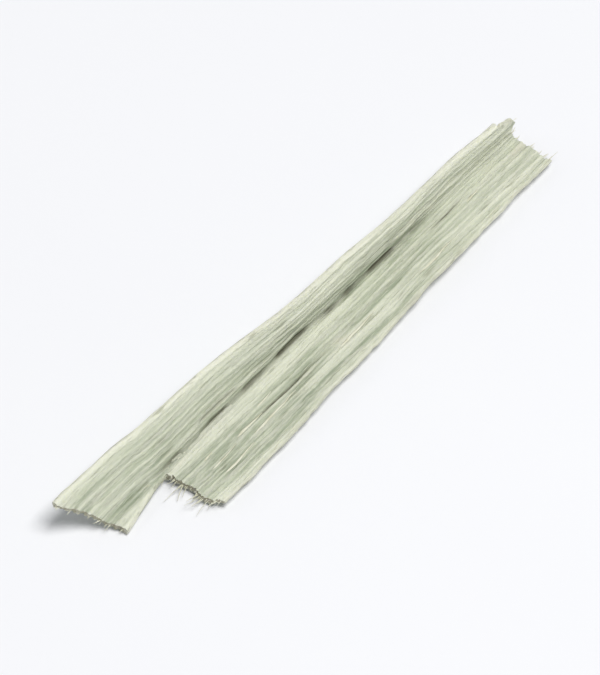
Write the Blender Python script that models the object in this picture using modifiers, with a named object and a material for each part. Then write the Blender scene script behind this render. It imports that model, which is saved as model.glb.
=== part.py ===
"""One cut length of dried lemongrass stalk, lying on its back with its channel open upwards.

The piece is a single strip of leaf sheath. It is folded lengthwise along its midrib into an uneven
channel: a narrow wing stands up on the left (+Y) and a broad wing lies nearly flat on the right
(-Y). The fold is sharp at the narrow end (+X) and opens towards the wide end (-X). The broad wing is
cut square at both ends. At the wide end the strip has split beside the fold and lost the end of the
broad wing, which leaves the left wing standing out as a prong, cut on a slant. At the narrow end the
left wing's rim slopes back from a small tooth.

Frame: X along the fold from the forked end to the narrow end, Z up, and the origin at the centre
of the bounding box on the surface that the piece rests on. Lengths are in metres.
"""

from math import radians

import bpy
import numpy as np

# Driving dimensions
LENGTH = 0.0196
WALL = 0.00034
LEFT_WING_WIDE = 0.00156
LEFT_WING_NARROW = 0.00100
RIGHT_WING_WIDE = 0.00234
RIGHT_WING_NARROW = 0.00154

# How the wings stand, as angles from the floor seen from the wide end
LEFT_ANGLE_WIDE = radians(42)
LEFT_ANGLE_NARROW = radians(90)
FOLDED_SHARE = 0.70
RIGHT_ANGLE_WIDE = radians(6.5)
RIGHT_ANGLE_NARROW = radians(0)
FOLD_HALF_WIDTH = 0.00030
RIM_ROLL = radians(22)
RIM_ROLL_SHARE = 0.55
WIDE_END_ROLL_SHARE = 0.25
MARGIN_CURL = radians(22)
MARGIN_CURL_WIDTH = 0.00060

# How the whole strip departs from straight
ARCH_HEIGHT = 0.00020
PRONG_BEND = 0.00006
PRONG_BEND_SHARE = 0.34
WAVE_HEIGHT = 0.00005

# The cut and broken ends
BREAK_LENGTH = 0.0034
BREAK_SIDE = 0.00012
BREAK_TURN = radians(6)
TOOTH_LENGTH = 0.00030
TOOTH_SIDE = 0.00055
TOOTH_HALF_WIDTH = 0.00024
TOOTH_ROOT = 0.9
PRONG_SLANT = 0.00125
RIM_SETBACK = 0.00080
SLANT_SHARE = 0.15

# Fineness of the strip's grid
LENGTH_STEPS = 64
RIGHT_STEPS = 10
LEFT_STEPS = 9
CROWDING_AT_FOLD = 1.35

PART_NAME = "lemongrass_stalk_piece"
CUTTER_SIZE = 0.008


def clear_scene():
    for thing in list(bpy.data.objects):
        bpy.data.objects.remove(thing, do_unlink=True)


def new_collection(name):
    collection = bpy.data.collections.new(name)
    bpy.context.scene.collection.children.link(collection)
    return collection


def move_to(thing, collection):
    for old in list(thing.users_collection):
        old.objects.unlink(thing)
    collection.objects.link(thing)


def smooth_step(value):
    """Runs from 0 to 1 as value does, level at both ends."""
    value = np.clip(value, 0.0, 1.0)
    return value * value * (3.0 - 2.0 * value)


def between(wide_end, narrow_end, along):
    """A value that changes evenly from the wide end (along = 0) to the narrow end (along = 1)."""
    return wide_end + (narrow_end - wide_end) * along


def developed_width(along, across):
    """Distance from the fold measured on the flat strip: negative on the right wing, zero on the fold.

    The right wing's columns are closest together at the fold, where the strip bends most.
    """
    right_share = np.clip(-across, 0.0, 1.0) ** CROWDING_AT_FOLD
    right = between(RIGHT_WING_WIDE, RIGHT_WING_NARROW, along) * right_share
    left = between(LEFT_WING_WIDE, LEFT_WING_NARROW, along) * np.clip(across, 0.0, 1.0)
    return left - right


def turning_angle(along, width):
    """Slope of the strip's section: the right wing's angle, turning to the left wing's over the fold.

    The left rim rolls outwards, more so towards the narrow end, and the right margin curls up.
    """
    right = between(RIGHT_ANGLE_WIDE, RIGHT_ANGLE_NARROW, along)
    left = between(LEFT_ANGLE_WIDE, LEFT_ANGLE_NARROW, smooth_step(along / FOLDED_SHARE))
    fold = smooth_step((width + FOLD_HALF_WIDTH) / (2.0 * FOLD_HALF_WIDTH))
    left_wing = between(LEFT_WING_WIDE, LEFT_WING_NARROW, along)
    rim = smooth_step((width / left_wing - RIM_ROLL_SHARE) / (1.0 - RIM_ROLL_SHARE))
    to_margin = between(RIGHT_WING_WIDE, RIGHT_WING_NARROW, along) + width
    margin = 1.0 - smooth_step(to_margin / MARGIN_CURL_WIDTH)
    rolled = RIM_ROLL * between(WIDE_END_ROLL_SHARE, 1.0, along)
    return right + (left - right) * fold - rolled * rim - MARGIN_CURL * margin


def carried_from_fold(slope_part, width, fold_column):
    """Adds up slope times width step by step across the strip, starting from zero at the fold."""
    middle = 0.5 * (slope_part[:, 1:] + slope_part[:, :-1])
    steps = middle * np.diff(width, axis=1)
    total = np.concatenate([np.zeros((len(width), 1)), np.cumsum(steps, axis=1)], axis=1)
    return total - total[:, fold_column : fold_column + 1]


def end_slants(along, width):
    """How far the slanted cuts move a point along the strip, fading out towards its middle.

    At the wide end the cut moves in by PRONG_SLANT from the left rim to the split. At the narrow end
    it moves in by RIM_SETBACK from the tooth to the left rim.
    """
    left_wing = between(LEFT_WING_WIDE, LEFT_WING_NARROW, along)
    from_rim = np.clip((left_wing - width) / (left_wing + BREAK_SIDE), 0.0, 1.0)
    past_tooth = np.clip((width - TOOTH_SIDE) / (left_wing - TOOTH_SIDE), 0.0, 1.0)
    near_wide_end = np.clip(1.0 - along / SLANT_SHARE, 0.0, 1.0)
    near_narrow_end = np.clip(1.0 - (1.0 - along) / SLANT_SHARE, 0.0, 1.0)
    return PRONG_SLANT * from_rim * near_wide_end - RIM_SETBACK * past_tooth * near_narrow_end


def strip_points(along, across, fold_column):
    """The strip's middle surface, for grids of positions along it (0 to 1) and across it (-1 to 1)."""
    width = developed_width(along, across)
    angle = turning_angle(along, width)
    y = carried_from_fold(np.cos(angle), width, fold_column)
    z = carried_from_fold(np.sin(angle), width, fold_column)
    tooth = TOOTH_LENGTH * np.clip(1.0 - np.abs(width - TOOTH_SIDE) / TOOTH_HALF_WIDTH, 0.0, 1.0)
    x = LENGTH * (along - 0.5) + tooth * np.clip((along - TOOTH_ROOT) / (1.0 - TOOTH_ROOT), 0.0, 1.0)
    x = x + end_slants(along, width)
    bend = np.clip(1.0 - along / PRONG_BEND_SHARE, 0.0, 1.0) ** 2
    y = y - PRONG_BEND * bend
    z = z + ARCH_HEIGHT * (1.0 - (2.0 * along - 1.0) ** 2)
    z = z + WAVE_HEIGHT * np.sin(3.0 * np.pi * along) * np.clip(-width / RIGHT_WING_WIDE, 0.0, 1.0)
    return np.stack([x, y, z], axis=-1)


def dried_leaf_material():
    material = bpy.data.materials.new("dried_lemongrass")
    material.use_nodes = True
    shader = material.node_tree.nodes["Principled BSDF"]
    shader.inputs["Base Color"].default_value = (0.54, 0.57, 0.45, 1.0)
    shader.inputs["Roughness"].default_value = 0.72
    shader.inputs["Metallic"].default_value = 0.0
    return material


def broken_corner_cutter(collection):
    """A box over the lost corner of the broad wing, turned a little about the split's inner end."""
    bpy.ops.mesh.primitive_cube_add(size=CUTTER_SIZE)
    cutter = bpy.context.object
    cutter.name = "broken_corner_cutter"
    corner = np.empty(24)
    cutter.data.vertices.foreach_get("co", corner)
    corner = corner.reshape(-1, 3) - (CUTTER_SIZE / 2, CUTTER_SIZE / 2, 0.0)
    cutter.data.vertices.foreach_set("co", corner.ravel())
    cutter.location = (-LENGTH / 2 + BREAK_LENGTH, -BREAK_SIDE, 0.0)
    cutter.rotation_euler = (0.0, 0.0, BREAK_TURN)
    cutter.hide_render = True
    cutter.display_type = "WIRE"
    move_to(cutter, collection)
    return cutter


def stalk_piece(collection, cutter):
    """A flat grid carried onto the strip's middle surface, given its wall and its broken corner."""
    columns = RIGHT_STEPS + LEFT_STEPS
    bpy.ops.mesh.primitive_grid_add(x_subdivisions=LENGTH_STEPS, y_subdivisions=columns, size=2.0)
    piece = bpy.context.object
    piece.name = PART_NAME
    flat = np.empty(3 * len(piece.data.vertices))
    piece.data.vertices.foreach_get("co", flat)
    flat = flat.reshape(columns + 1, LENGTH_STEPS + 1, 3).transpose(1, 0, 2)
    along = 0.5 * (flat[:, :, 0] + 1.0)
    column = np.broadcast_to(np.arange(columns + 1), along.shape)
    right_share = (column - RIGHT_STEPS) / RIGHT_STEPS
    left_share = (column - RIGHT_STEPS) / LEFT_STEPS
    across = np.where(column < RIGHT_STEPS, right_share, left_share)
    points = strip_points(along, across, RIGHT_STEPS)
    piece.data.vertices.foreach_set("co", points.transpose(1, 0, 2).ravel())
    piece.data.update()

    wall = piece.modifiers.new("wall", "SOLIDIFY")
    wall.thickness = WALL
    wall.offset = 0.0
    wall.use_even_offset = True
    wall.use_quality_normals = True

    corner = piece.modifiers.new("broken_corner", "BOOLEAN")
    corner.operation = "DIFFERENCE"
    corner.object = cutter

    piece.data.materials.append(dried_leaf_material())
    piece.data.shade_smooth()
    piece.data.set_sharp_from_angle(angle=radians(50))
    move_to(piece, collection)
    return piece


def evaluated_points(thing):
    bpy.context.view_layer.update()
    mesh = thing.evaluated_get(bpy.context.evaluated_depsgraph_get()).to_mesh()
    points = np.empty(3 * len(mesh.vertices))
    mesh.vertices.foreach_get("co", points)
    return points.reshape(-1, 3) + thing.matrix_world.translation


def rest_on_floor(piece, cutter):
    """Moves the piece and its cutter together, so that the box's bottom centre is at the origin."""
    points = evaluated_points(piece)
    lowest, highest = points.min(axis=0), points.max(axis=0)
    shift = -0.5 * (lowest + highest)
    shift[2] = -lowest[2]
    for thing in (piece, cutter):
        for axis in range(3):
            thing.location[axis] += shift[axis]
    bpy.context.view_layer.update()


def main():
    clear_scene()
    parts = new_collection("lemongrass_stalk")
    cutters = new_collection("cutters")
    cutter = broken_corner_cutter(cutters)
    piece = stalk_piece(parts, cutter)
    rest_on_floor(piece, cutter)


main()
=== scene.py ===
# %% [markdown]
# # One cut piece of dried lemongrass stalk
#
# The object is a single strip of leaf sheath from a lemongrass stalk, cut by machine to about 20 mm
# and dried in air. It is folded lengthwise into a channel: one wing stands up, the other lies nearly
# flat. At the narrow end a small tooth of fibre stands out of the cut. The wide end has split beside
# the fold and lost the end of the broad wing, which leaves the standing wing as a slanted prong.
#
# The whole thing is one sheet of plant tissue, a third of a millimetre thick at its ribs and thinner
# between them. So the lesson is about sheets: we work out a middle surface, give it two skins and a
# wall of cut tissue, and then look at what veins, drying and a knife did to it.

# %% Load the frame
from math import pi, radians

import bpy
import numpy as np
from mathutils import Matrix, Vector


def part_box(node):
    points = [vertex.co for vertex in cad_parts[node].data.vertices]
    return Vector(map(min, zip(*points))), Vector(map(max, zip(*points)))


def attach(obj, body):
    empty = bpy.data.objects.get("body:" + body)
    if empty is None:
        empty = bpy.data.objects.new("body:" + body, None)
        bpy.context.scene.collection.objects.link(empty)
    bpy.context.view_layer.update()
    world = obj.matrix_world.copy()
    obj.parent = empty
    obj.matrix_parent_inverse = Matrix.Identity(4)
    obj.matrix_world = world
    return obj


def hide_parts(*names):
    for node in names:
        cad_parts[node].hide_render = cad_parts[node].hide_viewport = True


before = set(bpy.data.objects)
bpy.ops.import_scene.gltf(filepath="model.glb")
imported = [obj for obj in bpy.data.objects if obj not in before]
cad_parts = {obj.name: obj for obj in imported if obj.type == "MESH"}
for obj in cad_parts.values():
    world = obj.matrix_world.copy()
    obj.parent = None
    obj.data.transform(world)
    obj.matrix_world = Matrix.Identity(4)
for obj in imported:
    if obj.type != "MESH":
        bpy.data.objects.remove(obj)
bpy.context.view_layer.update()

NODE = "lemongrass_stalk_piece"
lowest_corner, highest_corner = (np.array(corner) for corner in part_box(NODE))
print("frame box in mm:", (1000 * (highest_corner - lowest_corner)).round(3))

# %% [markdown]
# ## Colours and nodes
#
# Colours are easiest to choose as the sRGB hex values that a paint program shows. Blender's shaders
# work in linear light, so one function converts them. Another adds a shader node together with its
# settings and its links, which keeps each material short enough to read as a recipe. It leans on a
# third, which also fills in the shader that every new material has.

# %% Colour and node helpers
MM = 0.001


def linear(hex_colour):
    """sRGB hex to linear light: each channel c becomes c/12.92 when dark, else ((c+0.055)/1.055)^2.4."""
    channels = np.array([int(hex_colour[i : i + 2], 16) for i in (1, 3, 5)]) / 255.0
    bright = ((channels + 0.055) / 1.055) ** 2.4
    return (*np.where(channels <= 0.04045, channels / 12.92, bright), 1.0)


def set_inputs(tree, node, inputs):
    """Gives a node's inputs their values. Another node's output becomes a link."""
    for socket, value in inputs.items():
        if isinstance(value, bpy.types.NodeSocket):
            tree.links.new(value, node.inputs[socket])
        else:
            node.inputs[socket].default_value = value


def add_node(tree, kind, inputs=None, output=0, **settings):
    """Adds one node with its inputs and its own settings, and gives back one of its outputs."""
    node = tree.nodes.new(kind)
    for name, value in settings.items():
        setattr(node, name, value)
    set_inputs(tree, node, inputs or {})
    return node.outputs[output]


print("old leaf green in linear light:", np.round(linear("#aab09a")[:3], 3))

# %% [markdown]
# ## Smooth chance
#
# Nothing that grew is even, but chance in a plant is smooth: a vein drifts, it doesn't jitter. A sum
# of a few sine waves with seeded directions and phases gives a bump map that is random, smooth and
# the same on every run. Stretching it along the fibres makes it look like grass.

# %% Seeded smooth noise


def smooth_step(value):
    """Runs from 0 to 1 as value does, level at both ends: 3v^2 - 2v^3."""
    value = np.clip(value, 0.0, 1.0)
    return value * value * (3.0 - 2.0 * value)


def wander(first, second, lengths, seed, waves=14):
    """Noise of about -1.5 to 1.5: the sum of sine waves over two coordinates, by the root of their number.

    lengths gives a typical wavelength for each coordinate, so unequal ones stretch the pattern.
    """
    draw = np.random.default_rng(seed)
    turn = draw.uniform(0.0, 2.0 * pi, waves)
    size = draw.uniform(0.6, 1.7, waves)
    phase = draw.uniform(0.0, 2.0 * pi, waves)
    first_rate = 2.0 * pi * size * np.cos(turn) / lengths[0]
    second_rate = 2.0 * pi * size * np.sin(turn) / lengths[1]
    angle = np.multiply.outer(first, first_rate) + np.multiply.outer(second, second_rate) + phase
    return np.sin(angle).sum(axis=-1) / np.sqrt(waves)


sample = wander(np.linspace(0, 20, 500), np.zeros(500), (5.0, 1.0), seed=1)
print("noise runs from", sample.min().round(2), "to", sample.max().round(2))

# %% [markdown]
# ## The sheet's middle surface
#
# A leaf sheath bends easily across its veins and hardly at all along them. So the shape is best
# described by how its section turns: start at the fold, walk across the sheet, and add up small
# steps in the direction that the surface slopes there. The right wing lies almost flat, the left
# wing stands up, sharply folded at the narrow end and opening towards the wide end. Its rim rolls
# outwards as it dries, and the right margin curls up.
#
# All sizes are in millimetres until the mesh is made, because that is the scale one thinks in here.

# %% Dimensions of the strip, in millimetres
# A pair of values is for the wide end and the narrow end. A side is a distance from the fold.
LENGTH = 19.6
WALL = 0.34
LEFT_WING = (1.56, 1.00)
RIGHT_WING = (2.34, 1.54)
LEFT_ANGLE = (radians(42), radians(90))
RIGHT_ANGLE = (radians(6.5), 0.0)
FOLDED_SHARE = 0.70
FOLD_HALF_WIDTH = 0.30
RIM_ROLL = radians(22)
RIM_ROLL_SHARE = 0.55
WIDE_END_ROLL_SHARE = 0.25
MARGIN_CURL = radians(22)
MARGIN_CURL_WIDTH = 0.60
ARCH_HEIGHT = 0.20
WAVE_HEIGHT = 0.05
BREAK_LENGTH = 3.4
BREAK_SIDE = 0.12
BREAK_SLANT = np.tan(radians(6))
TOOTH = {"length": 0.30, "side": 0.55, "half_width": 0.24}
PRONG_SLANT = 1.25
RIM_SETBACK = 0.80
SLANT_REACH = 2.94
print("flat width in mm, wide end and narrow end:", np.round(np.add(LEFT_WING, RIGHT_WING), 2))

# %% The section's slope


def between(ends, along):
    """A value that changes evenly from the wide end (along = 0) to the narrow end (along = 1)."""
    return ends[0] + (ends[1] - ends[0]) * along


def turning_angle(along, width):
    """The section's slope: the right wing's angle, turned to the left wing's over the fold."""
    right = between(RIGHT_ANGLE, along)
    left = between(LEFT_ANGLE, smooth_step(along / FOLDED_SHARE))
    fold = smooth_step((width + FOLD_HALF_WIDTH) / (2.0 * FOLD_HALF_WIDTH))
    rim = smooth_step((width / between(LEFT_WING, along) - RIM_ROLL_SHARE) / (1.0 - RIM_ROLL_SHARE))
    margin = 1.0 - smooth_step((between(RIGHT_WING, along) + width) / MARGIN_CURL_WIDTH)
    rolled = RIM_ROLL * between((WIDE_END_ROLL_SHARE, 1.0), along)
    ripple = radians(3.0) * wander(along * LENGTH, width, (6.0, 1.6), seed=11)
    return right + (left - right) * fold - rolled * rim - MARGIN_CURL * margin + ripple


def walk_across(along, width, start):
    """Adds up (cos, sin) of the turning angle times the width step, outwards from column start."""
    angle = turning_angle(along, width)
    slopes = np.stack([np.cos(angle), np.sin(angle)], axis=-1)
    steps = 0.5 * (slopes[:, 1:] + slopes[:, :-1]) * np.diff(width, axis=1)[..., None]
    total = np.concatenate([np.zeros((len(width), 1, 2)), np.cumsum(steps, axis=1)], axis=1)
    return total - total[:, start : start + 1]


looked_at = np.array([0.0, 0.5, 1.0])
wing_slope = turning_angle(looked_at, 0.5 * between(LEFT_WING, looked_at))
print("the left wing's slope in degrees, wide end to narrow end:", np.degrees(wing_slope).round(0))

# %% [markdown]
# ## Laying out the grid
#
# The sheet is one grid of rows along it and columns across it. One column runs along the split, a
# little to the right of the fold. Towards the wide end the cells on its right are simply left out,
# which is the lost end of the broad wing. For three millimetres beyond that corner the split goes on
# as a crack, so there the split column exists twice, once for each lip.
#
# Rows crowd together near the ends, where the cut tissue is rough, and spread out in the middle,
# where little changes.

# %% Rows and columns
PRONG_ROWS, BODY_ROWS = 50, 248
RIGHT_COLUMNS, LEFT_COLUMNS = 96, 64
CRACK_LENGTH = 3.2
CRACK_OPENING = 0.085
CROWDING = 0.62
END_INSET = 0.07
SIDE_INSET = 0.07
TEAR_DEPTHS = (0.045, 0.02)
RIM_WANDER = 0.02


def crowded(steps):
    """Shares from 0 to 1 that lie closer together at both ends: an even share less a sine wave."""
    share = np.linspace(0.0, 1.0, steps + 1)
    return share - CROWDING * np.sin(2.0 * pi * share) / (2.0 * pi)


break_at = -LENGTH / 2 + BREAK_LENGTH
prong_x = END_INSET - LENGTH / 2 + (BREAK_LENGTH - END_INSET) * crowded(PRONG_ROWS)
body_x = break_at + (LENGTH - BREAK_LENGTH - END_INSET) * crowded(BODY_ROWS)
row_x = np.concatenate([prong_x[:-1], body_x])[:, None]
row_along = row_x / LENGTH + 0.5
crack_rows = int(np.searchsorted(body_x, break_at + CRACK_LENGTH))
split_width = -BREAK_SIDE - BREAK_SLANT * np.clip(break_at - row_x, 0.0, None)
print("rows:", len(row_x), "columns:", RIGHT_COLUMNS + LEFT_COLUMNS + 1, "crack rows:", crack_rows)

# %% [markdown]
# Across the strip, a grid point is known by its distance from the fold, measured on the sheet as if it
# lay flat. The right margin has torn along the veins in small steps. The left edge is the sheath's own
# rim, so it's smooth. Near the crack the two lips draw apart, each by half of the gap.

# %% Margins and the crack's gap


def margins(along):
    """Where the sheet ends to the right and left: a torn, stepping margin and a smooth natural rim."""
    x = along * LENGTH
    torn = TEAR_DEPTHS[0] * wander(x, 0 * x, (3.1, 1.0), seed=21)
    torn = torn + TEAR_DEPTHS[1] * wander(x, 0 * x, (0.7, 1.0), seed=22)
    rim = RIM_WANDER * wander(x, 0 * x, (4.0, 1.0), seed=23)
    right_edge = SIDE_INSET - between(RIGHT_WING, along) + np.abs(torn)
    return right_edge, between(LEFT_WING, along) - SIDE_INSET - np.abs(rim)


def widths(lip):
    """Distance of every grid point from the fold on the flat sheet, for the left (+1) or right lip."""
    right_edge, left_edge = margins(row_along)
    right_share = np.linspace(1.0, 0.0, RIGHT_COLUMNS + 1)[None, :]
    left_share = np.linspace(0.0, 1.0, LEFT_COLUMNS + 1)[None, 1:]
    right = split_width + (right_edge - split_width) * right_share
    left = split_width + (left_edge - split_width) * left_share
    width = np.concatenate([right, left], axis=1)
    gap = CRACK_OPENING * np.clip(1.0 - (row_x - break_at) / CRACK_LENGTH, 0.0, 1.0) ** 1.4
    gap = gap * smooth_step((row_x - break_at + 0.6) / 0.6)
    return width + lip * 0.5 * gap * np.exp(-np.abs(width - split_width) / 0.35)

# %% [markdown]
# ## Veins
#
# The veins of a grass leaf run side by side for its whole length. On a lemongrass sheath the strong
# ones are about a quarter of a millimetre apart, with a fine one between each pair. When the soft
# tissue between them dries and shrinks, the veins are left standing as ribs, more so on the outside
# of the sheath. They keep their distance from the fold, so where the strip narrows they run out at
# the torn margin.
#
# A vein's place is drawn once, with a little chance in its spacing. Reading a point's place in that
# row of veins as a fractional number gives a wave that peaks on every vein, however uneven they are.

# %% Vein ridges
VEIN_SPACING = 0.25
VEIN_COUNT = 26
FIRST_VEIN = -3.2
vein_draw = np.random.default_rng(5)
vein_steps = VEIN_SPACING * vein_draw.uniform(0.82, 1.2, VEIN_COUNT)
vein_places = np.cumsum(vein_steps) + FIRST_VEIN
vein_strength = vein_draw.uniform(0.62, 1.0, VEIN_COUNT)


def vein_number(along, width):
    """A point's place in the row of veins: whole numbers lie on a vein, halves between two."""
    drift = 0.035 * wander(along * LENGTH, 0 * width, (9.0, 1.0), seed=31)
    drift = drift + 0.009 * wander(along * LENGTH, width, (3.2, 0.8), seed=32)
    return np.interp(width + drift, vein_places, np.arange(len(vein_places)))


def ridges(along, width):
    """Strong and fine ribs, each 0 to 1: powers of a cosine wave of the vein number."""
    number = vein_number(along, width)
    strength = vein_strength[np.rint(number).astype(int)]
    strength = strength * (0.86 + 0.14 * wander(along * LENGTH, number, (4.0, 1.3), seed=33))
    strong = (0.5 + 0.5 * np.cos(2.0 * pi * number)) ** 2.2 * strength
    fine = (0.5 + 0.5 * np.cos(2.0 * pi * (number + 0.5))) ** 5.0
    return strong, fine


print("veins across the strip:", int(np.ptp(vein_number(row_along, widths(1)))))

# %% [markdown]
# ## Two skins
#
# The inner skin faces up, the outer skin faces the table. Each stands half a wall away from the
# middle surface along its normal, less the furrows between the veins. The outer skin is ribbed more
# deeply. Some furrows have opened into short drying cracks, and the tissue crumples into faint
# ripples that run across the veins.

# %% Thickness and furrows
INNER_FURROW = 0.050
OUTER_FURROW = 0.080
EDGE_THINNING, EDGE_WIDTH = 0.62, 0.45
RIM_BEAD_HEIGHT, RIM_BEAD_WIDTH = 0.035, 0.16
CRACK_DEPTH, CRACK_WIDTH = 0.085, 0.030
CREASE_DEPTH, CREASE_WIDTH = 0.15, 0.082
SECOND_CREASE_SIDE, SECOND_CREASE_WIDTH = 0.30, 0.042
DRYING_CRACKS = np.array(
    [
        # distance from the fold, middle along the strip, length
        (-0.93, -2.0, 4.6),
        (-1.71, 3.6, 3.4),
        (0.52, 4.5, 4.0),
        (-0.45, 6.2, 2.6),
    ]
)


def drying_cracks(x, width):
    """Short grooves that follow the veins: a narrow bell across, fading in and out along."""
    side, middle, length = DRYING_CRACKS.T
    across = (width[..., None] - side - 0.03 * np.sin(x[..., None])) / CRACK_WIDTH
    reach = 1.0 - np.abs((x[..., None] - middle) / (0.5 * length))
    return (np.exp(-across**2) * smooth_step(reach)).max(axis=-1)


def fold_crease(x, width):
    """The crushed inside of the fold: a deep broken crease, and a finer one beside it on the left wing."""
    drift = 0.035 * wander(x, 0.0 * x, (3.4, 1.0), seed=43)
    broken = smooth_step(0.70 + 0.8 * wander(x, 0.0 * x, (1.5, 1.0), seed=44))
    second_broken = smooth_step(0.25 + 0.8 * wander(x, 0.0 * x, (2.1, 1.0), seed=45))
    reach = smooth_step((x + 6.9) / 1.6) * smooth_step((6.6 - x) / 2.8)
    crease = np.exp(-(((width + 0.01 - drift) / CREASE_WIDTH) ** 2)) * (0.4 + 0.6 * broken)
    from_second = (width - SECOND_CREASE_SIDE - 0.6 * drift) / SECOND_CREASE_WIDTH
    second = np.exp(-(from_second**2)) * second_broken
    return reach * np.maximum(crease, 0.6 * second)


def skin_heights(width):
    """How far each skin stands from the middle: half the wall, thinner at the edges, less the furrows."""
    x = row_x + 0.0 * width
    strong, fine = ridges(row_along, width)
    right_edge, left_edge = margins(row_along)
    to_edge = np.minimum(width - right_edge, left_edge - width)
    half = 0.5 * WALL * between((EDGE_THINNING, 1.0), smooth_step(to_edge / EDGE_WIDTH))
    half = half + RIM_BEAD_HEIGHT * smooth_step(1.0 - (left_edge - width) / RIM_BEAD_WIDTH)
    half = np.minimum(half, 0.5 * WALL)
    crumple = 0.006 * wander(x, width, (0.55, 0.9), seed=41)
    crumple = crumple + 0.010 * wander(x, width, (1.9, 0.5), seed=42)
    rise = np.clip(0.85 * strong + 0.30 * fine, 0.0, 1.0)
    deep = CRACK_DEPTH * drying_cracks(x, width) + CREASE_DEPTH * fold_crease(x, width)
    inner = np.maximum(half - INNER_FURROW * (1.0 - rise) - deep + crumple - 0.012, -0.04)
    outer = half - OUTER_FURROW * (1.0 - rise) + 0.6 * crumple - 0.008
    return inner, outer


print("average thickness in mm:", np.sum(skin_heights(widths(1)), axis=0).mean().round(3))

# %% [markdown]
# ## Ragged ends
#
# A cutting machine chops quickly and not always squarely: the broad wing is cut across, the prong
# on a slant. The veins are tougher than the tissue between them and stand out a little from the
# cut. One bundle was pulled out as a small tooth at the narrow end, and the rim slopes back from it.

# %% End outlines
END_DECAY = 0.9
NOTCHES, SLOW_WAVES, VEIN_STEP, FINE_VEIN_STEP = 0.012, 0.055, 0.045, 0.015
BREAK_SETBACK, BREAK_ROUGHNESS = 0.09, 1.3


def end_outline(width, seed):
    """How far the cut stands out at each point across it: notches, slow waves and steps at the veins."""
    strong, fine = ridges(np.zeros_like(width), width)
    notches = NOTCHES * wander(width, 0 * width, (0.13, 1.0), seed=seed)
    slow = SLOW_WAVES * wander(width, 0 * width, (1.3, 1.0), seed=seed + 1)
    return notches + slow + VEIN_STEP * (strong - 0.4) + FINE_VEIN_STEP * fine


def end_slants(x, width):
    """Slanted cuts: the wide end moves in from rim to split, the narrow end from tooth to rim."""
    left_wing = between(LEFT_WING, x / LENGTH + 0.5)
    from_rim = np.clip((left_wing - width) / (left_wing + BREAK_SIDE), 0.0, 1.0)
    past_tooth = np.clip((width - TOOTH["side"]) / (left_wing - TOOTH["side"]), 0.0, 1.0)
    near_wide_end = np.clip(1.0 - (x + LENGTH / 2) / SLANT_REACH, 0.0, 1.0)
    near_narrow_end = np.clip(1.0 - (LENGTH / 2 - x) / SLANT_REACH, 0.0, 1.0)
    return PRONG_SLANT * from_rim * near_wide_end - RIM_SETBACK * past_tooth * near_narrow_end


def ragged(x, width):
    """The shift along the strip near the three cut or broken ends, fading out inside the sheet."""
    left_fade = smooth_step(1.0 - (x + LENGTH / 2) / END_DECAY)
    right_fade = smooth_step(1.0 - (LENGTH / 2 - x) / END_DECAY)
    break_fade = smooth_step(1.0 - (x - break_at) / END_DECAY) * (width < split_width)
    break_fade = break_fade * smooth_step((split_width - width) / 0.06)
    tooth = np.clip(1.0 - np.abs(width - TOOTH["side"]) / TOOTH["half_width"], 0.0, 1.0)
    tooth = tooth * (0.82 + 0.18 * wander(width, 0.0 * width, (0.07, 1.0), seed=57))
    at_break = BREAK_SLANT * (split_width - width) + BREAK_SETBACK
    at_break = at_break + BREAK_ROUGHNESS * end_outline(width, 55)
    shift = -left_fade * end_outline(width, 51) + right_fade * (end_outline(width, 53) - 0.04)
    shift = shift + break_fade * at_break + right_fade * TOOTH["length"] * tooth
    return shift + end_slants(x, width)


narrow_cut = ragged(row_x[-1:], widths(1)[-1:])
print("the narrow cut steps back and forth over", np.ptp(narrow_cut).round(2), "mm")

# %% [markdown]
# ## Placing the two skins
#
# Now everything comes together. The points are laid out flat, the ends are made ragged, and the
# section is walked from the fold outwards. Along its length the strip arches a little off the table
# and the broad wing waves. The cross product of the two directions of the grid gives the normal, and
# each skin is set off from the middle surface along it.

# %% Inner and outer skin


def unit(vectors):
    """Vectors of length one: each divided by its own length."""
    return vectors / np.maximum(np.linalg.norm(vectors, axis=-1, keepdims=True), 1e-12)


def skins(lip):
    """Inner and outer skin points and their leaf coordinates, as grids of rows by columns."""
    width = widths(lip)
    x = row_x + ragged(row_x, width)
    fold_to_split = np.linspace(0.0, 1.0, 25)[None, :] * split_width
    split_place = walk_across(row_along, fold_to_split, 0)[:, -1:]
    section = walk_across(row_along, width, RIGHT_COLUMNS) + split_place
    y, z = section[..., 0], section[..., 1]
    z = z + ARCH_HEIGHT * (1.0 - (2.0 * row_along - 1.0) ** 2)
    z = z + WAVE_HEIGHT * np.sin(3.0 * pi * row_along) * np.clip(-width / RIGHT_WING[0], 0.0, 1.0)
    crack_share = np.clip(1.0 - (row_x - break_at) / CRACK_LENGTH, 0.0, 1.0)
    lift = 0.05 * crack_share * np.exp(-np.abs(width - split_width) / 0.5) * (row_x > break_at - 0.5)
    z = z + lip * 0.5 * lift
    middle = np.stack([x, y, z], axis=-1)
    normal = unit(np.cross(np.gradient(middle, axis=0), np.gradient(middle, axis=1)))
    inner, outer = skin_heights(width)
    leaf = np.stack([x, width, 0.0 * x], axis=-1)
    return middle + normal * inner[..., None], middle - normal * outer[..., None], leaf


inner_left, outer_left, leaf_left = (grid[:, RIGHT_COLUMNS:] for grid in skins(1))
inner_right, outer_right, leaf_right = (grid[PRONG_ROWS:, : RIGHT_COLUMNS + 1] for grid in skins(-1))
print("points on the left patch:", inner_left.shape[:2], "and on the right patch:", inner_right.shape[:2])

# %% [markdown]
# ## Closing the sheet
#
# A sheet with two skins needs a wall all round, including both lips of the crack. Rather than list
# the borders, we let the mesh tell us: an edge that only one face of the inner skin uses lies on the
# border. Each border point gets a short ladder of points down to the outer skin. How that ladder
# bulges is what tells a cut end from a natural rim: a rim is rounded, while at a cut the soft tissue
# has shrunk back between the two skins and the veins stand out as small stubs.

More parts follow.
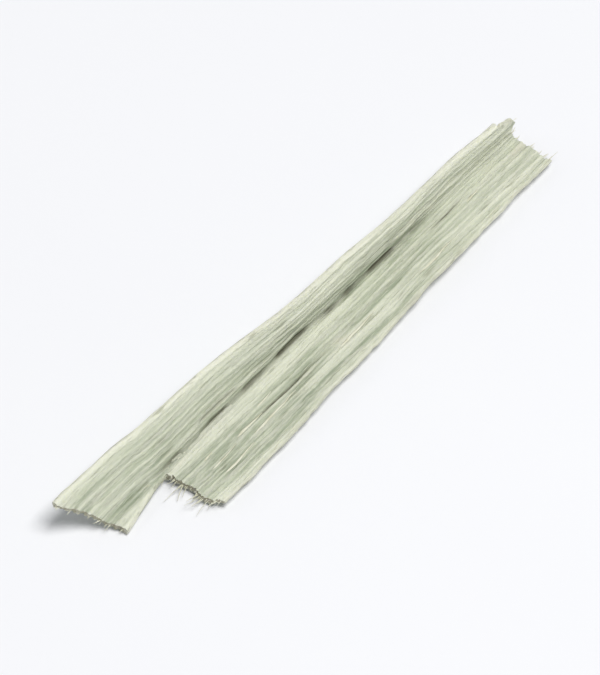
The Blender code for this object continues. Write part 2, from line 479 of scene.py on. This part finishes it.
# %% Faces and borders


def numbered_patches():
    """Point numbers of the left and right patch; past the crack they share the split column."""
    left = np.arange(leaf_left[..., 0].size).reshape(leaf_left.shape[:2])
    right = left.size + np.arange(leaf_right[..., 0].size).reshape(leaf_right.shape[:2])
    right[crack_rows:, -1] = left[PRONG_ROWS + crack_rows :, 0]
    return left, right


def grid_faces(numbers):
    """Four-cornered faces between neighbouring rows and columns, turned to face up."""
    corners = [numbers[:-1, :-1], numbers[1:, :-1], numbers[1:, 1:], numbers[:-1, 1:]]
    return np.stack(corners, axis=-1).reshape(-1, 4)


def border_edges(faces):
    """Directed edges that one face uses and no other: their reverse is nowhere in the list."""
    edges = np.stack([faces, np.roll(faces, -1, axis=1)], axis=-1).reshape(-1, 2)
    size = int(faces.max()) + 1
    forward, backward = edges[:, 0] * size + edges[:, 1], edges[:, 1] * size + edges[:, 0]
    return edges[~np.isin(forward, backward)]


def gathered(left, right):
    """Both patches' grids as one list of points."""
    return np.concatenate([left.reshape(-1, 3), right.reshape(-1, 3)])


inner_points = gathered(inner_left, inner_right)
outer_points = gathered(outer_left, outer_right)
leaf_points = gathered(leaf_left, leaf_right)
inner_faces = np.concatenate([grid_faces(numbers) for numbers in numbered_patches()])
borders = border_edges(inner_faces)
border_points = np.unique(borders)
border_leaf = leaf_points[border_points]
print("inner faces:", len(inner_faces), "border edges:", len(borders))

# %% [markdown]
# To bulge the wall, we must know the way out of the sheet at each border point. It stands square both
# to the border and to the way from skin to skin, so it is their cross product. Where it points along
# the strip, the border is a cut; where it points sideways, it is a margin or a rim.

# %% The way out, and the shape of the wall
WALL_STEPS = 8
SHRUNK_BACK = 0.050
STUB_HEIGHT = 0.080
RIM_ROUNDNESS = 0.34


def outward_at_border(points, edges):
    """The way out of the sheet at each border point: edge direction crossed with the wall's height."""
    ahead = unit(points[edges[:, 1]] - points[edges[:, 0]])
    up = unit(inner_points[edges].mean(axis=1) - outer_points[edges].mean(axis=1))
    out = np.zeros_like(points)
    for end in (0, 1):
        np.add.at(out, edges[:, end], np.cross(ahead, up))
    return unit(out)


def bundle_stubs(strong, depth):
    """Cut vein bundles: round spots, 0 to 1, in the middle of the wall under every strong rib."""
    return strong**1.5 * np.exp(-(((depth - 0.45) / 0.2) ** 2))


def wall_shape(depth, outward, leaf):
    """How far the wall stands out at a depth from 0 (inner skin) to 1 (outer skin), and its kind.

    Where the way out points along the strip, the wall is a cut: shrunk back by a half sine wave, plus
    the stubs. Elsewhere it is a rim: a half circle, flattened. A smooth step mixes the two.
    """
    at_cut = smooth_step((np.abs(outward[:, 0]) - 0.45) / 0.3)[:, None]
    strong = ridges(np.full(len(leaf), 0.5), leaf[:, 1])[0]
    round_out = np.sqrt(np.clip(1.0 - (2.0 * depth - 1.0) ** 2, 0.0, 1.0))
    shrunk = -SHRUNK_BACK * np.sin(pi * depth) ** 0.7
    stub = STUB_HEIGHT * bundle_stubs(strong[:, None], depth)
    grain = 0.010 * wander(leaf[:, 1:2] + 0 * depth, WALL * depth, (0.09, 0.12), seed=61)
    fibrous = 0.012 * wander(leaf[:, :1] + 0 * depth, depth + leaf[:, 1:2], (1.4, 0.25), seed=62)
    cut = shrunk + stub + grain * np.sin(pi * depth)
    side = RIM_ROUNDNESS * WALL * round_out + fibrous * np.sin(pi * depth)
    return at_cut * cut + (1.0 - at_cut) * side, at_cut[:, 0]


border_out = outward_at_border(inner_points, borders)[border_points]
depths = np.linspace(0.0, 1.0, WALL_STEPS + 1)[None, 1:-1]
bulge, cut_share = wall_shape(depths, border_out, border_leaf)
print("the wall runs from", bulge.min().round(3), "to", bulge.max().round(3), "mm beyond the skins' edges")

# %% [markdown]
# Every point of the inner skin has a partner on the outer skin with a number that is higher by the
# number of inner points. On the border, the steps of the ladder come after both. Neighbouring ladders
# are joined by faces, and the outer skin's faces are the inner ones turned round, so all point out.

# %% Build the closed sheet
top, bottom = inner_points[border_points][:, None], outer_points[border_points][:, None]
wall_points = top + (bottom - top) * depths[..., None] + border_out[:, None] * bulge[..., None]

inner_count = len(inner_points)
step_numbers = 2 * inner_count + np.arange(bulge.size).reshape(bulge.shape)
ladder = np.zeros((inner_count, WALL_STEPS + 1), dtype=int)
ladder[:, 0] = np.arange(inner_count)
ladder[:, -1] = ladder[:, 0] + inner_count
ladder[border_points, 1:-1] = step_numbers
start, end = ladder[borders[:, 0]], ladder[borders[:, 1]]
wall_faces = np.stack([end[:, :-1], start[:, :-1], start[:, 1:], end[:, 1:]], axis=-1).reshape(-1, 4)
sheet_faces = np.concatenate([inner_faces, inner_faces[:, ::-1] + inner_count, wall_faces])
sheet_points = np.concatenate([inner_points, outer_points, wall_points.reshape(-1, 3)])
print("faces on the skins:", 2 * len(inner_faces), "and on the wall:", len(wall_faces))

# %% [markdown]
# ## What the finish has to know
#
# Values that the finish needs ride on the points as attributes: the distance along and across the
# leaf in millimetres, the ribs, the pale rim and margin, the painted shade in the cracks and the
# crease of the fold, and the cut tissue. A pattern that reads them follows the leaf round every
# bend. The narrow end is drawn paler, as more of the margin's colour, in long streaks.

# %% Values on the points


def over_sheet(inner, outer, wall):
    """One value per point of the sheet; a number stands for a whole skin, and a column for its wall."""
    on_skins = [np.broadcast_to(skin, inner_count) for skin in (inner, outer)]
    return np.concatenate([*on_skins, np.broadcast_to(wall, bulge.shape).ravel()])


# The last millimetres of the narrow end are drawn paler, in long streaks.
def paler_narrow_end(x, width):
    """A mask that fades in over the last millimetres of the narrow end, broken up by long streaks."""
    streaky = 0.5 + 0.5 * wander(x, width, (5.0, 0.35), seed=71)
    return 0.9 * smooth_step((x - 4.6) / 3.6) * np.clip(0.55 + 0.45 * streaky, 0.0, 1.0)


leaf_x = over_sheet(leaf_points[:, 0], leaf_points[:, 0], border_leaf[:, 0:1])
leaf_w = over_sheet(leaf_points[:, 1], leaf_points[:, 1], border_leaf[:, 1:2])
leaf_depth = over_sheet(0.0, 1.0, depths)
is_wall = over_sheet(0.0, 0.0, 1.0)
strong, fine = ridges(leaf_x / LENGTH + 0.5, leaf_w)
right_edge, left_edge = margins(leaf_x / LENGTH + 0.5)
on_skin = np.clip(strong + 0.35 * fine, 0.0, 1.0)
torn_margin = smooth_step(1.0 - (leaf_w - right_edge) / 0.22)
# Painted shade: the drying cracks and the crease of the fold are darkened on the inner skin.
grooves = np.maximum(drying_cracks(leaf_x, leaf_w), fold_crease(leaf_x, leaf_w))
sheet_values = {
    "leaf": np.stack([leaf_x, leaf_w, leaf_depth], axis=-1),
    "ridge": np.where(is_wall > 0.5, bundle_stubs(strong, leaf_depth), on_skin),
    "rim": smooth_step(1.0 - (left_edge - leaf_w) / 0.40),
    "margin": np.maximum(torn_margin, paler_narrow_end(leaf_x, leaf_w)),
    "groove_shade": grooves * (leaf_depth < 0.5),
    "cut": over_sheet(0.0, 0.0, cut_share[:, None]),
    "wall": is_wall,
}
print("share of the sheet that is pale margin:", sheet_values["margin"].mean().round(2))

# %% [markdown]
# ## From arrays to a piece
#
# The sheet was worked out around its own middle. The frame says where the real one lies, so the
# points are moved until both boxes share the same centre and the same table. The arrays go into the
# mesh in one go. Edges sharper than 55 degrees stay sharp, so that the cuts look cut.

# %% Make the mesh
SHARP_EDGE = radians(55)


def make_piece(name, points, faces, attributes):
    """A mesh object at the origin from points in metres, smooth shaded, with named point attributes."""
    mesh = bpy.data.meshes.new(name)
    mesh.vertices.add(len(points))
    mesh.vertices.foreach_set("co", points.astype(np.float32).ravel())
    mesh.loops.add(faces.size)
    mesh.loops.foreach_set("vertex_index", faces.astype(np.int32).ravel())
    mesh.polygons.add(len(faces))
    mesh.polygons.foreach_set("loop_start", np.arange(0, faces.size, faces.shape[1], dtype=np.int32))
    mesh.update(calc_edges=True)
    mesh.validate()
    for key, values in attributes.items():
        kind = "FLOAT_VECTOR" if values.ndim == 2 else "FLOAT"
        layer = mesh.attributes.new(key, kind, "POINT")
        flat_values = values.astype(np.float32).ravel()
        layer.data.foreach_set("vector" if values.ndim == 2 else "value", flat_values)
    mesh.shade_smooth()
    piece = bpy.data.objects.new(name, mesh)
    bpy.context.scene.collection.objects.link(piece)
    return piece


def without_strays(points, faces, values):
    """Drops points that no face uses and renumbers the faces."""
    kept, numbers = np.unique(faces, return_inverse=True)
    return points[kept], numbers.reshape(faces.shape), {key: column[kept] for key, column in values.items()}


used_points = sheet_points[np.unique(sheet_faces)]
sheet_low, sheet_high = used_points.min(axis=0), used_points.max(axis=0)
frame_middle = 0.5 * (lowest_corner + highest_corner) / MM
to_frame = frame_middle - 0.5 * (sheet_low + sheet_high)
to_frame[2] = lowest_corner[2] / MM - sheet_low[2]
print("sheet in mm:", (sheet_high - sheet_low).round(3), "moved by", to_frame.round(3))

sheet = without_strays((sheet_points + to_frame) * MM, sheet_faces, sheet_values)
strip = make_piece("leaf_sheath_strip", *sheet)
strip.data.set_sharp_from_angle(angle=SHARP_EDGE)
print("strip triangles:", 2 * len(strip.data.polygons))

# %% [markdown]
# ## Loose fibres
#
# Vein bundles don't break cleanly. Some stick out of the cuts as short bristles, longer ones hang
# from the broken end of the broad wing, a few have peeled away along the split and the right margin,
# and a handful still bridge the mouth of the crack. Thin slivers of skin lift off the broad wing.
#
# All of them are tubes round a centre line. One function makes a whole batch at once: it takes the
# centre lines as one array, and rings of points are laid round them. A sliver is just a flat tube.

# %% Tubes round many centre lines
FIBRE_SIDES = 6
FIBRE_STEPS = 9
fibre_draw = np.random.default_rng(77)
fibre_share = np.linspace(0.0, 1.0, FIBRE_STEPS)[None, :, None]


def tubes(centres, flat_side, radius, flatness=1.0):
    """Closed tapering tubes: centre + side*r*cos + up*r*flatness*sin round every centre line.

    centres is fibres by steps by 3. flat_side is the direction in which a flattened tube is broad.
    """
    count, steps, _ = centres.shape
    ahead = unit(np.gradient(centres, axis=1))
    up = unit(np.cross(ahead, flat_side))
    across = np.cross(up, ahead)
    turn = np.linspace(0.0, 2.0 * pi, FIBRE_SIDES, endpoint=False)[None, None, :, None]
    taper = (0.4 + 0.6 * smooth_step(fibre_share / 0.25)) * (1.0 - 0.75 * fibre_share**1.5)
    taper = taper * radius[:, None, None]
    ring = across[:, :, None] * np.cos(turn) + up[:, :, None] * np.sin(turn) * flatness
    rings = centres[:, :, None] + ring * taper[..., None]
    size = steps * FIBRE_SIDES
    number = np.arange(size).reshape(steps, FIBRE_SIDES)
    ahead_number, beside = number[1:], np.roll(number, -1, axis=1)
    first = np.stack([number[:-1], beside[:-1], beside[1:]], axis=-1).reshape(-1, 3)
    second = np.stack([number[:-1], beside[1:], ahead_number], axis=-1).reshape(-1, 3)
    start_cap = np.stack([np.full(FIBRE_SIDES, size), beside[0], number[0]], axis=-1)
    end_cap = np.stack([np.full(FIBRE_SIDES, size + 1), number[-1], beside[-1]], axis=-1)
    one = np.concatenate([first, second, start_cap, end_cap])
    points = np.concatenate([rings.reshape(count, size, 3), centres[:, [0, -1]]], axis=1)
    offsets = np.arange(count)[:, None, None] * (size + 2)
    return points.reshape(-1, 3), (one[None] + offsets).reshape(-1, 3)


print("triangles in one tube:", 2 * FIBRE_SIDES * FIBRE_STEPS)

# %% [markdown]
# A fibre belongs to a vein, so it starts where a strong vein meets the border, a little inside the
# sheet. From there it runs on along the veins and bends away by chance. It is held within a tenth of
# a millimetre of the sheet's own box, so that no hair makes the object bigger or pokes into the table.

# %% Where fibres start and which way they run
ROOT_DEPTH = 0.05
FIBRE_ROOM_LOW = np.array([0.10, 0.02, -0.025])
FIBRE_ROOM_HIGH = np.array([0.10, 0.02, 0.0])

border_root = inner_points[border_points] * 0.6 + outer_points[border_points] * 0.4
border_strength = ridges(np.full(len(border_points), 0.5), border_leaf[:, 1])[0]


def picked(allowed, amount):
    """A seeded choice of border points, strong veins first in line."""
    weight = np.where(allowed, 0.05 + border_strength**2, 0.0)
    return fibre_draw.choice(len(border_points), amount, replace=False, p=weight / weight.sum())


def along_veins(heading, spread):
    """Unit directions that follow the veins towards +X or -X, each a little astray."""
    straight = np.sign(heading)[:, None] * np.array([[1.0, 0.0, 0.0]])
    return unit(straight + fibre_draw.normal(0.0, spread, (len(heading), 3)))


def curving_fibres(chosen, forward, lengths, bend):
    """Centre lines from inside the sheet: root + forward * length * share + bend * length * share^2."""
    start = border_root[chosen] - ROOT_DEPTH * border_out[chosen]
    path = start[:, None] + forward[:, None] * (lengths[:, None, None] + ROOT_DEPTH) * fibre_share
    path = path + bend[:, None] * lengths[:, None, None] * fibre_share**2
    return np.clip(path, sheet_low - FIBRE_ROOM_LOW, sheet_high + FIBRE_ROOM_HIGH)


on_cut = cut_share > 0.6
at_break_end = on_cut & (np.abs(border_leaf[:, 0] - break_at) < 0.8)
at_knife_cut = on_cut & ~at_break_end
along_right_side = (cut_share < 0.3) & (border_leaf[:, 1] < 0.0)
print("border points at the knife cuts:", at_knife_cut.sum(), "and at the break:", at_break_end.sum())

# %% Bristles, torn fibres and peeled fibres
BRISTLES, TORN, PEELED = 36, 26, 28

knife_cut = picked(at_knife_cut, BRISTLES)
bristle_way = along_veins(border_out[knife_cut, 0], 0.13)
bristle_length = fibre_draw.uniform(0.05, 0.26, BRISTLES)
bristle_bend = fibre_draw.normal(0.0, 0.15, (BRISTLES, 3))
bristles = curving_fibres(knife_cut, bristle_way, bristle_length, bristle_bend)

torn = picked(at_break_end, TORN)
torn_way = along_veins(border_out[torn, 0], 0.12)
torn_length = fibre_draw.uniform(0.08, 0.34, TORN) + 0.75 * fibre_draw.random(TORN) ** 5
torn_bend = fibre_draw.normal(0.0, 0.18, (TORN, 3)) + (0.0, 0.0, 0.08)
torn_fibres = curving_fibres(torn, torn_way, torn_length, torn_bend)

side_edge = picked(along_right_side, PEELED)
peel_way = unit(along_veins(fibre_draw.random(PEELED) - 0.65, 0.03) + 0.10 * border_out[side_edge])
peel_bend = 0.10 * border_out[side_edge] * fibre_draw.random((PEELED, 1)) + (0.0, 0.0, 0.05)
peel_length = fibre_draw.uniform(0.35, 1.30, PEELED)
peeled_fibres = curving_fibres(side_edge, peel_way, peel_length, peel_bend)
print("longest torn fibre in mm:", torn_length.max().round(2), "peeled:", peel_length.max().round(2))

# %% [markdown]
# The bridges and the slivers don't start from the border. A bridge is a straight line from one lip of
# the crack to the other, lifted in the middle by half a sine wave. A sliver follows the veins on the
# broad wing's skin, and its free end has curled up by the square of the distance.

# %% Bridges across the crack and slivers of skin
BRIDGE_ROWS = np.array([6, 15, 23, 31, 42])
BRIDGE_SLANTS = np.array([7, -5, 8, 6, -6])
BRIDGE_SINK = (0.0, 0.0, 0.10)
BRIDGE_RISE = (0.0, 0.0, 0.11)
SLIVERS = 9
SLIVER_SINK = 0.004
UP = np.array([0.0, 0.0, 1.0])

left_lip = inner_left[PRONG_ROWS + BRIDGE_ROWS, 1] - BRIDGE_SINK
right_lip = inner_right[BRIDGE_ROWS + BRIDGE_SLANTS, -2] - BRIDGE_SINK
bridges = left_lip[:, None] + (right_lip - left_lip)[:, None] * fibre_share
bridges = bridges + BRIDGE_RISE * np.sin(pi * fibre_share)

sliver_pace = fibre_draw.integers(1, 4, SLIVERS)[:, None]
sliver_start = fibre_draw.integers(20, 200, SLIVERS)[:, None]
sliver_rows = sliver_start + np.arange(FIBRE_STEPS)[None] * sliver_pace
sliver_columns = fibre_draw.integers(8, 86, SLIVERS)[:, None]
sliver_lift = fibre_draw.uniform(0.03, 0.11, SLIVERS)[:, None, None] * fibre_share**2
slivers = inner_right[sliver_rows, sliver_columns] + UP * (sliver_lift - SLIVER_SINK)
print("bridges:", len(bridges), "slivers:", len(slivers))

# %% Make the loose fibres
FINE_RADIUS = (0.010, 0.020)
SLIVER_RADIUS = (0.030, 0.055)
SLIVER_FLATNESS = 0.22

fine_paths = np.concatenate([bristles, torn_fibres, peeled_fibres, bridges])
fine_radius = fibre_draw.uniform(*FINE_RADIUS, len(fine_paths))
sliver_radius = fibre_draw.uniform(*SLIVER_RADIUS, SLIVERS)
fine_points, fine_faces = tubes(fine_paths, np.array([0.13, 0.95, 0.28]), fine_radius)
flat_points, flat_faces = tubes(slivers, np.array([0.0, 1.0, 0.0]), sliver_radius, SLIVER_FLATNESS)
fibre_points = (np.concatenate([fine_points, flat_points]) + to_frame) * MM
fibre_faces = np.concatenate([fine_faces, flat_faces + len(fine_points)])
fibres = make_piece("loose_fibres", fibre_points, fibre_faces, {})
print("loose fibres:", len(fine_paths) + SLIVERS, "triangles:", len(fibres.data.polygons))

# %% [markdown]
# ## The finish of dried leaf
#
# Lemongrass is blue-green when fresh, under a thin bloom of wax. Dried in air it turns a soft
# grey-green. Three things make it look like itself:
#
# * the veins are paler and strawier than the tissue between them, and everything is drawn out
#   lengthwise, since every cell is;
# * the wax scatters light, so the surface is matt, a little shinier on top of the ribs;
# * it is thin enough for light to soak in, which softens its shadows.
#
# The colours come first, from the tissue to the specks of dirt and age.

# %% Colours of the dried sheath
TISSUE = linear("#bac1aa")
TISSUE_GREY = linear("#c7cab9")
TISSUE_GREEN = linear("#98a28a")
VEIN = linear("#e2e5d1")
RIM = linear("#e9ebd9")
# Painted shade, for the crease of the fold, the drying cracks and the furrows between threads.
FOLD_SHADE = linear("#504e3b")
TAN = linear("#d3c8b4")
CUT_TISSUE = linear("#e8e5d4")
CUT_PITH = linear("#ccc6ae")
DASH = linear("#84876e")
SPECK = linear("#6f6552")
print("tissue in linear light:", np.round(TISSUE[:3], 3))

# %% [markdown]
# Each pattern is noise on the leaf's own millimetres, stretched along the veins. Its scale says how
# many of its features fit in a millimetre along, across and through the leaf: a streak is about
# 0.15 mm wide and over ten times as long, a thread is 0.06 mm wide. The cells of the skin are only
# 0.02 mm wide, too fine to show, so their grain is drawn twice as coarse.

# %% Patterns that follow the leaf
LEAF_PATTERNS = {
    # name: features in a millimetre, detail, roughness, where in the noise it starts
    "patches": ((0.22, 0.9, 0.7), 3.0, 0.55, 0.0),
    "streaks": ((0.55, 6.5, 2.0), 5.0, 0.6, 7.0),
    "threads": ((1.3, 17.0, 5.0), 4.0, 0.65, 3.0),
    "cells": ((9.0, 26.0, 9.0), 2.0, 0.7, 11.0),
    "tan patches": ((0.35, 1.3, 1.0), 4.0, 0.55, 23.0),
    "pale bands": ((0.10, 1.9, 0.5), 2.0, 0.55, 41.0),
    "dashes": ((0.9, 8.0, 3.0), 3.0, 0.6, 53.0),
    "specks": ((1.9, 8.0, 6.0), 2.0, 0.55, 31.0),
}
POINT_VALUES = ("ridge", "rim", "margin", "groove_shade", "cut", "wall")


def leaf_masks(tree):
    """Every pattern and every value on the points, by name, as outputs that run from 0 to 1."""
    leaf = add_node(tree, "ShaderNodeAttribute", output="Vector", attribute_name="leaf")
    masks = {}
    for name, (per_millimetre, detail, roughness, start) in LEAF_PATTERNS.items():
        place = {"Vector": leaf, "Scale": per_millimetre, "Location": (start, start, start)}
        stretched = add_node(tree, "ShaderNodeMapping", place)
        noise = {"Vector": stretched, "Scale": 1.0, "Detail": detail, "Roughness": roughness}
        masks[name] = add_node(tree, "ShaderNodeTexNoise", noise, output="Fac")
    for name in POINT_VALUES:
        masks[name] = add_node(tree, "ShaderNodeAttribute", output="Fac", attribute_name=name)
    return masks


print("patterns:", len(LEAF_PATTERNS), "values on the points:", len(POINT_VALUES))

# %% [markdown]
# The colour is built up like a painting, in layers over a green ground. A layer has a mask, the two
# mask values between which it fades in, how much of it shows at most, and its colour. The patterns
# fade in softly. Values that already have their own shape, such as the rim, are used as they are.

# %% Layers of colour
SOFT, AS_IT_IS = "SMOOTHSTEP", "LINEAR"
LEAF_LAYERS = (
    ("patches", SOFT, 0.38, 0.62, 1.0, TISSUE),
    ("streaks", SOFT, 0.42, 0.66, 1.0, TISSUE_GREY),
    ("ridge", SOFT, 0.15, 0.8, 0.62, VEIN),
    ("threads", SOFT, 0.52, 0.70, 0.60, VEIN),
    # Painted shade in the fine furrows between the threads, which the bump draws from the same noise.
    ("threads", SOFT, 0.44, 0.30, 0.30, FOLD_SHADE),
    ("tan patches", SOFT, 0.60, 0.74, 0.5, TAN),
    # Painted shade in the drying cracks and the crease of the fold.
    ("groove_shade", AS_IT_IS, 0.0, 1.0, 0.90, FOLD_SHADE),
    ("rim", AS_IT_IS, 0.0, 1.0, 0.75, RIM),
    ("margin", AS_IT_IS, 0.0, 1.0, 0.5, RIM),
    ("pale bands", SOFT, 0.50, 0.64, 0.65, RIM),
    ("cut", AS_IT_IS, 0.0, 1.0, 0.9, "cut face"),
    ("wall", AS_IT_IS, 0.0, 1.0, 0.25, CUT_TISSUE),
    ("dashes", SOFT, 0.57, 0.72, 0.5, DASH),
    ("specks", SOFT, 0.74, 0.80, 0.6, SPECK),
)


def layered_colour(tree, masks, ground, layers):
    """Mixes each layer over the ones before it, by its mask mapped from low..high to 0..most.

    A layer's colour is a fixed one, or the name of a mask that holds a colour worked out before.
    """
    colour = ground
    for name, curve, low, high, most, layer_colour in layers:
        fade = {"Value": masks[name], "From Min": low, "From Max": high, "To Max": most}
        share = add_node(tree, "ShaderNodeMapRange", fade, interpolation_type=curve)
        above = masks[layer_colour] if isinstance(layer_colour, str) else layer_colour
        mixing = {0: share, 6: colour, 7: above}
        colour = add_node(tree, "ShaderNodeMix", mixing, output=2, data_type="RGBA")
    return colour


print("layers of colour:", len(LEAF_LAYERS))

# %% [markdown]
# The cut faces have a colour of their own: soft brownish pith with paler spots where vein bundles end.
# It is made first, with the same layering, and then laid over the rest where the mask says "cut". The
# fine relief of threads and cells is too small for the mesh, so a bump node tilts the light for it.
# Dried tissue has an IOR of about 1.42. Light soaks about a quarter of a millimetre into it.

# %% Air-dried leaf sheath
LEAF_IOR = 1.42
LIGHT_DEPTH = 0.00025
RELIEF_HEIGHT = 0.00005


def dried_leaf_material():
    """Air-dried leaf sheath: matt and waxy, in layers of streaks, with a fine thread relief."""
    material = bpy.data.materials.new("air_dried_leaf_sheath")
    material.use_nodes = True
    tree = material.node_tree
    masks = leaf_masks(tree)
    spotted = {0: masks["cells"], 1: 0.5, 2: masks["ridge"]}
    masks["bundles"] = add_node(tree, "ShaderNodeMath", spotted, operation="MULTIPLY_ADD")
    bundle_spots = (("bundles", SOFT, 0.30, 0.75, 1.0, CUT_TISSUE),)
    masks["cut face"] = layered_colour(tree, masks, CUT_PITH, bundle_spots)

    both = {0: masks["threads"], 1: masks["cells"]}
    relief = {"Height": add_node(tree, "ShaderNodeMath", both, operation="ADD")}
    relief |= {"Strength": 0.9, "Distance": RELIEF_HEIGHT}
    waxy = {"Value": masks["streaks"], "From Min": 0.3, "From Max": 0.7, "To Min": 0.70, "To Max": 0.56}
    wax = add_node(tree, "ShaderNodeMapRange", waxy, interpolation_type=SOFT)
    polished = {0: masks["ridge"], 1: -0.08, 2: wax}
    recipe = {
        "Base Color": layered_colour(tree, masks, TISSUE_GREEN, LEAF_LAYERS),
        "Roughness": add_node(tree, "ShaderNodeMath", polished, operation="MULTIPLY_ADD"),
        "Normal": add_node(tree, "ShaderNodeBump", relief),
        "IOR": LEAF_IOR,
        "Subsurface Weight": 0.12,
        "Subsurface Radius": (1.0, 1.0, 0.6),
        "Subsurface Scale": LIGHT_DEPTH,
    }
    set_inputs(tree, tree.nodes["Principled BSDF"], recipe)
    return material


strip.data.materials.append(dried_leaf_material())
print("nodes in the leaf's finish:", len(strip.data.materials[0].node_tree.nodes))

# %% [markdown]
# ## The finish of bare fibre
#
# A bare vein bundle is a bundle of cellulose strands, like combed flax: straw-white and a little
# glossier than the leaf. Nobody sees a pattern on a hair 0.03 mm thick, so it only gets a mottle, whose
# patches are 0.4 mm across.

# %% Bare vein fibre


def mottled_material(name, patches_per_metre, dark, light, fade, roughness, ior):
    """Noise on Object coordinates that blends two close colours, at one roughness."""
    material = bpy.data.materials.new(name)
    material.use_nodes = True
    tree = material.node_tree
    place = add_node(tree, "ShaderNodeTexCoord", output="Object")
    noise = {"Vector": place, "Scale": patches_per_metre, "Detail": 2.0}
    mottle = {"mottle": add_node(tree, "ShaderNodeTexNoise", noise, output="Fac")}
    colour = layered_colour(tree, mottle, dark, (("mottle", *fade, 1.0, light),))
    recipe = {"Base Color": colour, "Roughness": roughness, "IOR": ior}
    set_inputs(tree, tree.nodes["Principled BSDF"], recipe)
    return material


FIBRE_DARK, FIBRE_LIGHT = linear("#cbcab2"), linear("#dfdfcc")
FIBRE_FADE = (SOFT, 0.35, 0.65)
fibre_finish = mottled_material("bare_vein_fibre", 2500.0, FIBRE_DARK, FIBRE_LIGHT, FIBRE_FADE, 0.5, 1.5)
fibres.data.materials.append(fibre_finish)
print("fibre finish:", fibre_finish.name)

# %% [markdown]
# ## Where the pieces belong
#
# Both pieces ride on the object's only body. The strip replaces the plain solid of the frame.

# %% Ride, replace
for piece in (fibres, strip):
    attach(piece, "root")
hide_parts(NODE)
print("pieces:", strip.name, fibres.name)

# %% [markdown]
# ## The floor
#
# The piece lies on a plain, nearly white surface: a sheet of matt white acrylic. It is a single face
# at the height of the frame's lowest point. Its finish is the same recipe as the fibre's, with patches
# 17 mm across and so faint that they only keep the white from being one flat value.

# %% Floor of matt white acrylic
FLOOR_HALF = 1.0
FLOOR_DARK, FLOOR_LIGHT = linear("#e8e9ed"), linear("#ebecef")
FLOOR_FADE = (AS_IT_IS, 0.0, 1.0)

corners = np.array([(-1, -1, 0), (1, -1, 0), (1, 1, 0), (-1, 1, 0)]) * FLOOR_HALF
corners[:, 2] = lowest_corner[2]
floor = make_piece("floor", corners, np.array([[0, 1, 2, 3]]), {})
floor_finish = mottled_material("matt_white_acrylic", 60.0, FLOOR_DARK, FLOOR_LIGHT, FLOOR_FADE, 0.75, 1.5)
floor.data.materials.append(floor_finish)
print("floor at a height in mm of", round(float(lowest_corner[2]) / MM, 3))

# %% [markdown]
# ## The camera
#
# Small things are looked at from close by, but a short lens would bend the strip's long lines. So the
# camera stands well back with a very long lens. It looks down at 50 degrees and turns until the
# strip runs from the lower left to the upper right, with the wide end nearest.

# %% Camera
VIEW_TURN = radians(-51.6)
VIEW_HEIGHT = radians(50.0)
VIEW_DISTANCE = 0.42
LENS = 790.0
AIM = Vector((-0.0003, 0.0003, 0.0006))

look = Vector((-np.sin(VIEW_TURN), np.cos(VIEW_TURN), 0.0))
side = Vector((np.cos(VIEW_TURN), np.sin(VIEW_TURN), 0.0))
back = -look * np.cos(VIEW_HEIGHT) + Vector((0, 0, np.sin(VIEW_HEIGHT)))
camera = bpy.data.objects.new("camera", bpy.data.cameras.new("camera"))
camera.data.lens = LENS
camera.data.clip_start, camera.data.clip_end = 0.01, 10.0
camera.location = AIM + back * VIEW_DISTANCE
camera.rotation_euler = (-back).to_track_quat("-Z", "Y").to_euler()
bpy.context.scene.collection.objects.link(camera)
bpy.context.scene.camera = camera
print("camera at", np.round(camera.location, 4))

# %% [markdown]
# ## The light
#
# The light is very soft and daylight-coloured. A wide lamp overhead does most of the work. It stands
# a little to the front and right, so that it looks into the channel and lights the inside of the
# standing wing; only the crease of the fold stays dark. A dim lamp on the left and pale surroundings
# fill the shadows.

# %% Light
OVERHEAD = {"along": -0.06, "aside": 0.11, "height": 0.36, "size": 0.18, "watts": 1.36}
LEFT_FILL = {"along": 0.10, "aside": -0.34, "height": 0.22, "size": 0.30, "watts": 0.20}
SURROUNDINGS = {"Color": (0.96, 0.98, 1.0, 1.0), "Strength": 0.28}


def softbox(name, colour, along, aside, height, size, watts):
    """A square lamp that faces the piece; the wider it is, the softer its shadows."""
    lamp = bpy.data.objects.new(name, bpy.data.lights.new(name, "AREA"))
    lamp.data.shape, lamp.data.size = "SQUARE", size
    lamp.data.energy, lamp.data.color = watts, colour
    lamp.location = along * look + aside * side + Vector((0, 0, height))
    lamp.rotation_euler = (-lamp.location).to_track_quat("-Z", "Y").to_euler()
    bpy.context.scene.collection.objects.link(lamp)
    return lamp


lamps = (
    softbox("overhead_softbox", (1.0, 0.99, 0.975), **OVERHEAD),
    softbox("left_fill", (0.96, 0.98, 1.0), **LEFT_FILL),
)
world = bpy.data.worlds.new("pale_studio")
bpy.context.scene.world = world
world.use_nodes = True
set_inputs(world.node_tree, world.node_tree.nodes["Background"], SURROUNDINGS)
bpy.context.scene.view_settings.view_transform = "Standard"
print("lamps:", [(lamp.name, round(lamp.data.energy, 2)) for lamp in lamps])
